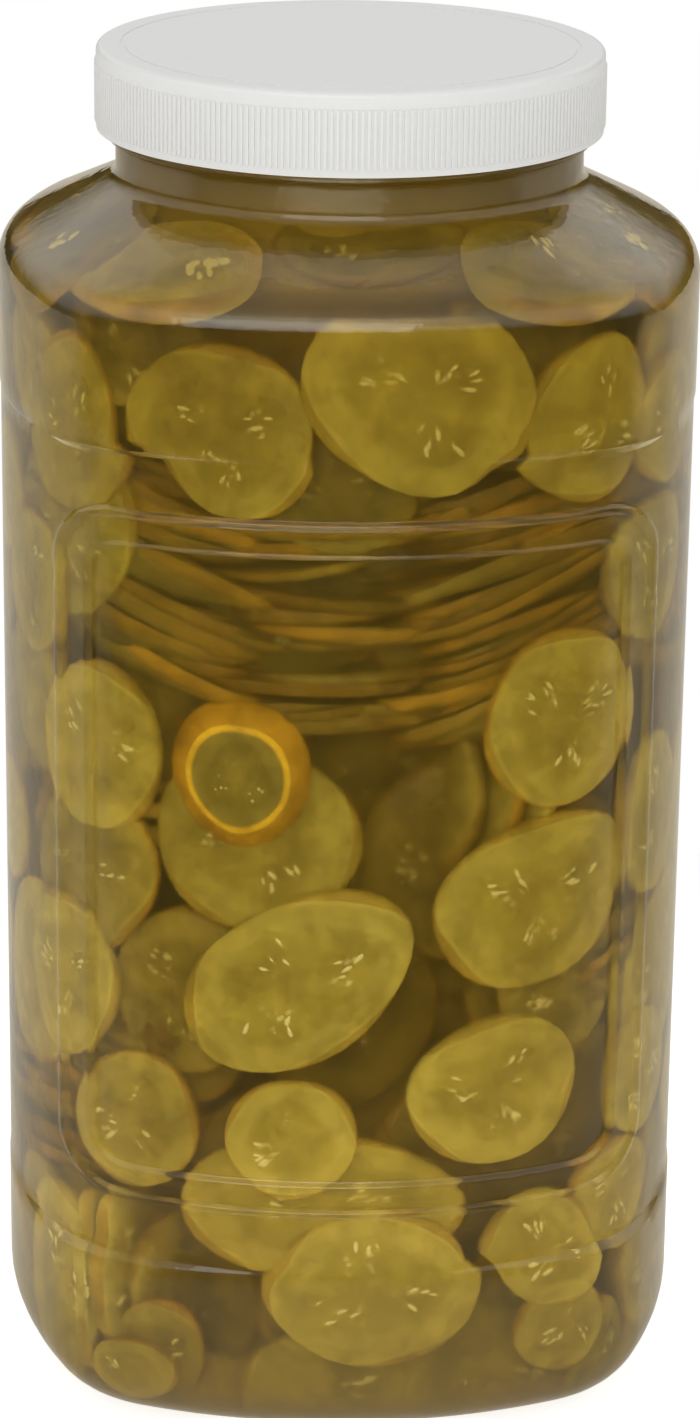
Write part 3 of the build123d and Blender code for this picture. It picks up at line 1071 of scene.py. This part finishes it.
class PickleJarHeap(bpy.types.PropertyGroup):
    """Slices and seeds."""

    thickness: FloatProperty(
        name="Slice thickness", description="Mean thickness of a slice, in millimetres",
        default=3.9, min=2.0, max=8.0)
    seed_length: FloatProperty(
        name="Seed length", description="Mean length of a seed, in millimetres",
        default=3.1, min=2.0, max=8.0)
    randomness: IntProperty(
        name="Random seed", description="Starts the random places and sizes", default=11, min=0)
    core_inset: FloatProperty(
        name="Core inset", description="How far the core lies inside the bottle, in millimetres",
        default=18.5, min=12.0, max=25.0)


class PickleJarStage(bpy.types.PropertyGroup):
    """Stage."""

    front_power: FloatProperty(
        name="Front light", description="Power of the soft light over the front", default=5.4,
        min=0.0, unit="POWER")
    top_power: FloatProperty(
        name="Top light", description="Power of the soft light over the lid", default=0.4,
        min=0.0, unit="POWER")
    back_power: FloatProperty(
        name="Back light", description="Power of the soft light behind the jar", default=4.0,
        min=0.0, unit="POWER")
    room_level: FloatProperty(
        name="Room level", description="Brightness of the white room", default=0.66, min=0.0,
        subtype="FACTOR")


# Operators

class PICKLEJAR_OT_bottle(bpy.types.Operator):
    """Build the clear bottle"""

    bl_idname = "picklejar.bottle"
    bl_label = "Bottle"

    def execute(self, context):
        settings = context.scene.pickle_jar_bottle
        bm = bmesh.new()
        relief = (settings.frame_height, settings.panel_depth)
        first, last = skin_of_rows(bm, bottle_rows(), relief)
        bmesh.ops.edgeloop_fill(bm, edges=first)
        bmesh.ops.edgeloop_fill(bm, edges=last)
        bottle = finish_mesh(bm, "bottle_clear")
        give(bottle, clear_material("bottle_plastic", 1.5, (1, 1, 1), 0.03, 1.0, 320.0, 0.00008))
        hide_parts("jar")
        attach(bottle, "root")
        return {"FINISHED"}


class PICKLEJAR_OT_brine(bpy.types.Operator):
    """Build the brine that fills the bottle"""

    bl_idname = "picklejar.brine"
    bl_label = "Brine"

    def execute(self, context):
        bm = bmesh.new()
        rows = brine_rows(context.scene.pickle_jar_bottle.overlap)
        first, last = skin_of_rows(bm, rows, (0, 0))
        bmesh.ops.edgeloop_fill(bm, edges=first)
        bmesh.ops.edgeloop_fill(bm, edges=last)
        liquid = finish_mesh(bm, "brine_liquid")
        # Brine with a faint painted glow
        material = clear_material("brine_amber", 1.34, BRINE_TINT, 0.31, 0.0, 40.0, 0.00002, BRINE_HAZE)
        give(liquid, material)
        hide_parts("brine")
        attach(liquid, "root")
        return {"FINISHED"}


class PICKLEJAR_OT_slices(bpy.types.Operator):
    """Build the pickle slices and their seeds"""

    bl_idname = "picklejar.slices"
    bl_label = "Slices and seeds"

    def execute(self, context):
        settings = context.scene.pickle_jar_heap
        heap = Heap(settings.thickness, settings.seed_length, settings.randomness)
        lay_front(heap)
        lay_sides(heap)
        front = FACE_ARC + CORNER_ARC / 2
        rest = 4 * QUARTER_ARC - front
        outer = ((22, 46), (0.02, 0.45), 3)
        lay_wall(heap, front + 8, rest - 8, 12, 234, 30, (0.0, 3.2), *outer)
        lay_wall(heap, front + 8, rest - 8, 20, 228, 33, (4.5, 7.0), (30, 44), (0.3, 0.7), 1)
        lay_wall(heap, -front, front, 16, 230, 31, (6.5, 9.5), (32, 46), (0.45, 0.8), 1)
        lay_wall(heap, -front, rest, 18, 228, 36, (12.5, 15.0), (38, 48), (0.6, 1.0), 0)
        lay_wall(heap, -front, rest, 4, 20, 16, (1.5, 4.5), (26, 40), (0.15, 0.6), 1)
        lay_shoulder(heap)
        lay_floor(heap)
        slices, seeds = heap.finished()
        give(slices, slice_material())
        give(seeds, tinted_material("pickle_seed", SEED_COLOURS, 300, 0.4, SLICE_REACH))
        for piece in (slices, seeds):
            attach(piece, "root")
        return {"FINISHED"}


class PICKLEJAR_OT_core(bpy.types.Operator):
    """Build the core that fills the middle of the heap"""

    bl_idname = "picklejar.core"
    bl_label = "Core"

    def execute(self, context):
        inset = context.scene.pickle_jar_heap.core_inset
        bm = bmesh.new()
        first, last = skin_of_rows(bm, core_rows(inset), (0, 0), 12, 8)
        bmesh.ops.edgeloop_fill(bm, edges=first)
        bmesh.ops.edgeloop_fill(bm, edges=last)
        for vert in bm.verts:
            lump = noise.noise(vert.co * CORE_GRAIN) * CORE_LUMP * MM
            vert.co += Vector((vert.co.x, vert.co.y, 0)).normalized() * lump
        core = finish_mesh(bm, "pickle_core")
        give(core, tinted_material("pickle_core_dark", CORE_COLOURS, 90, 0.6, CORE_REACH))
        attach(core, "root")
        return {"FINISHED"}


class PICKLEJAR_OT_lid(bpy.types.Operator):
    """Give the lid its white plastic"""

    bl_idname = "picklejar.lid"
    bl_label = "Lid"

    def execute(self, context):
        give(bpy.data.objects["lid"], lid_material())
        return {"FINISHED"}


# Stage

FLOOR_REACH = 6.0
FLOOR_COLOUR = (0.8, 0.8, 0.8, 1)
FLOOR_LIFT = 0.68
FLOOR_FADE = (0.09, 0.3)
MIRRORED_COLOUR = (1, 0.93, 0.78, 1)
MIRRORED_BAND = ((0.1, 0), (0.35, 0.9), (0.75, 0.9), (0.93, 0.12))
MIDDLE = (0, 0, 0.14)
CAMERA_PLACE = (-0.04430, -0.91607, 0.44812)
CAMERA_RIGHT = (0.99888, -0.04599, 0.01137)
CAMERA_UP = (0.00403, 0.32169, 0.94684)
CAMERA_BACK = (-0.04720, -0.94573, 0.32151)
CAMERA_ANGLE = radians(17.587)


def floor_material():
    """Pale floor that keeps a shadow near the jar, fades to white, and mirrors warmly behind the jar."""
    material, tree, output = new_material("floor_white")
    place = object_place(tree)
    paper = node(tree, "ShaderNodeBsdfDiffuse", Color=FLOOR_COLOUR)
    lift = node(tree, "ShaderNodeEmission", Strength=FLOOR_LIFT)
    lifted = node(tree, "ShaderNodeAddShader")
    tree.links.new(paper.outputs[0], lifted.inputs[0])
    tree.links.new(lift.outputs[0], lifted.inputs[1])
    fade = ranged(tree, length_of(tree, place), *FLOOR_FADE, interpolation="SMOOTHSTEP")
    white = mixed(tree, fade, lifted, node(tree, "ShaderNodeEmission", Strength=1.0))
    behind = ranged(tree, parts_of(tree, place)["Y"], -0.3, 0.02, 0.6, "SMOOTHSTEP")
    mirrored = node(tree, "ShaderNodeEmission", Color=MIRRORED_COLOUR)
    tree.links.new(behind, mirrored.inputs["Strength"])
    path = node(tree, "ShaderNodeLightPath")
    seen = mixed(tree, path.outputs["Is Glossy Ray"], white, mirrored)
    tree.links.new(seen.outputs[0], output.inputs["Surface"])
    return material


def white_room(level):
    """World: white to the camera, a bright band to glossy rays, and soft light otherwise."""
    world = bpy.data.worlds.new("white_room")
    world.use_nodes = True
    tree = world.node_tree
    tree.nodes.clear()
    white = (1, 1, 1, 1)
    room = node(tree, "ShaderNodeBackground", Color=white, Strength=level)
    backdrop = node(tree, "ShaderNodeBackground", Color=white, Strength=1.0)
    mirrored = node(tree, "ShaderNodeBackground", Color=white)
    rise = parts_of(tree, node(tree, "ShaderNodeTexCoord").outputs["Generated"])["Z"]
    tree.links.new(ramp(tree, rise, MIRRORED_BAND), mirrored.inputs["Strength"])
    path = node(tree, "ShaderNodeLightPath")
    plain = mixed(tree, path.outputs["Is Glossy Ray"], room, mirrored)
    chosen = mixed(tree, path.outputs["Is Camera Ray"], plain, backdrop)
    output = tree.nodes.new("ShaderNodeOutputWorld")
    tree.links.new(chosen.outputs[0], output.inputs["Surface"])
    return world


def add_lamp(name, place, size, power):
    """Rectangular soft light at place, looking at the middle of the jar."""
    light = bpy.data.lights.new(name, "AREA")
    light.shape = "RECTANGLE"
    light.size, light.size_y = size
    light.energy = power
    lamp = bpy.data.objects.new(name, light)
    lamp.location = place
    lamp.rotation_euler = (Vector(MIDDLE) - Vector(place)).to_track_quat("-Z", "Y").to_euler()
    bpy.context.scene.collection.objects.link(lamp)
    return lamp


def add_camera():
    """Camera looking down a little on the jar's front."""
    lens = bpy.data.cameras.new("camera")
    lens.sensor_fit = "VERTICAL"
    lens.angle = CAMERA_ANGLE
    lens.clip_start = 0.01
    camera = bpy.data.objects.new("camera", lens)
    axes = (Vector(CAMERA_RIGHT), Vector(CAMERA_UP), Vector(CAMERA_BACK))
    camera.matrix_world = Matrix.Translation(CAMERA_PLACE) @ Matrix(axes).transposed().to_4x4()
    bpy.context.scene.collection.objects.link(camera)
    bpy.context.scene.camera = camera


class PICKLEJAR_OT_stage(bpy.types.Operator):
    """Build the floor, lights, room and camera"""

    bl_idname = "picklejar.stage"
    bl_label = "Stage"

    def execute(self, context):
        settings = context.scene.pickle_jar_stage
        context.scene.view_settings.view_transform = "Standard"
        bm = bmesh.new()
        bmesh.ops.create_grid(bm, x_segments=1, y_segments=1, size=FLOOR_REACH)
        floor_piece = finish_mesh(bm, "floor")
        give(floor_piece, floor_material())
        context.scene.world = white_room(settings.room_level)
        add_lamp("front_light", (-0.25, -1.35, 0.8), (1.2, 0.8), settings.front_power)
        add_lamp("top_light", (0, -0.05, 0.95), (0.7, 0.7), settings.top_power)
        back = add_lamp("back_light", (0.25, 1.3, 1.0), (1.0, 0.7), settings.back_power)
        back.visible_glossy = False
        add_camera()
        return {"FINISHED"}


STEPS = ("bottle", "brine", "slices", "core", "lid", "stage")


class PICKLEJAR_PT_pieces(bpy.types.Panel):
    """Lists the steps of the pickle jar"""

    bl_idname = "PICKLEJAR_PT_pieces"
    bl_label = "Pickle jar"
    bl_space_type = "VIEW_3D"
    bl_region_type = "UI"
    bl_category = "Pickle jar"

    def draw(self, context):
        for step in STEPS:
            self.layout.operator("picklejar." + step)
        for group in ("pickle_jar_bottle", "pickle_jar_heap", "pickle_jar_stage"):
            settings = getattr(context.scene, group)
            for name in settings.__annotations__:
                self.layout.prop(settings, name)


CLASSES = (
    PickleJarBottle, PickleJarHeap, PickleJarStage, PICKLEJAR_OT_bottle, PICKLEJAR_OT_brine,
    PICKLEJAR_OT_slices, PICKLEJAR_OT_core, PICKLEJAR_OT_lid, PICKLEJAR_OT_stage, PICKLEJAR_PT_pieces,
)


def register():
    """Registers the classes and their settings."""
    for item in CLASSES:
        bpy.utils.register_class(item)
    bpy.types.Scene.pickle_jar_bottle = PointerProperty(type=PickleJarBottle)
    bpy.types.Scene.pickle_jar_heap = PointerProperty(type=PickleJarHeap)
    bpy.types.Scene.pickle_jar_stage = PointerProperty(type=PickleJarStage)


def unregister():
    """Takes the settings and classes away again."""
    del bpy.types.Scene.pickle_jar_stage
    del bpy.types.Scene.pickle_jar_heap
    del bpy.types.Scene.pickle_jar_bottle
    for item in reversed(CLASSES):
        bpy.utils.unregister_class(item)


def main():
    """Builds every piece."""
    register()
    for step in STEPS:
        getattr(bpy.ops.picklejar, step)()


if __name__ == "__main__":
    main()
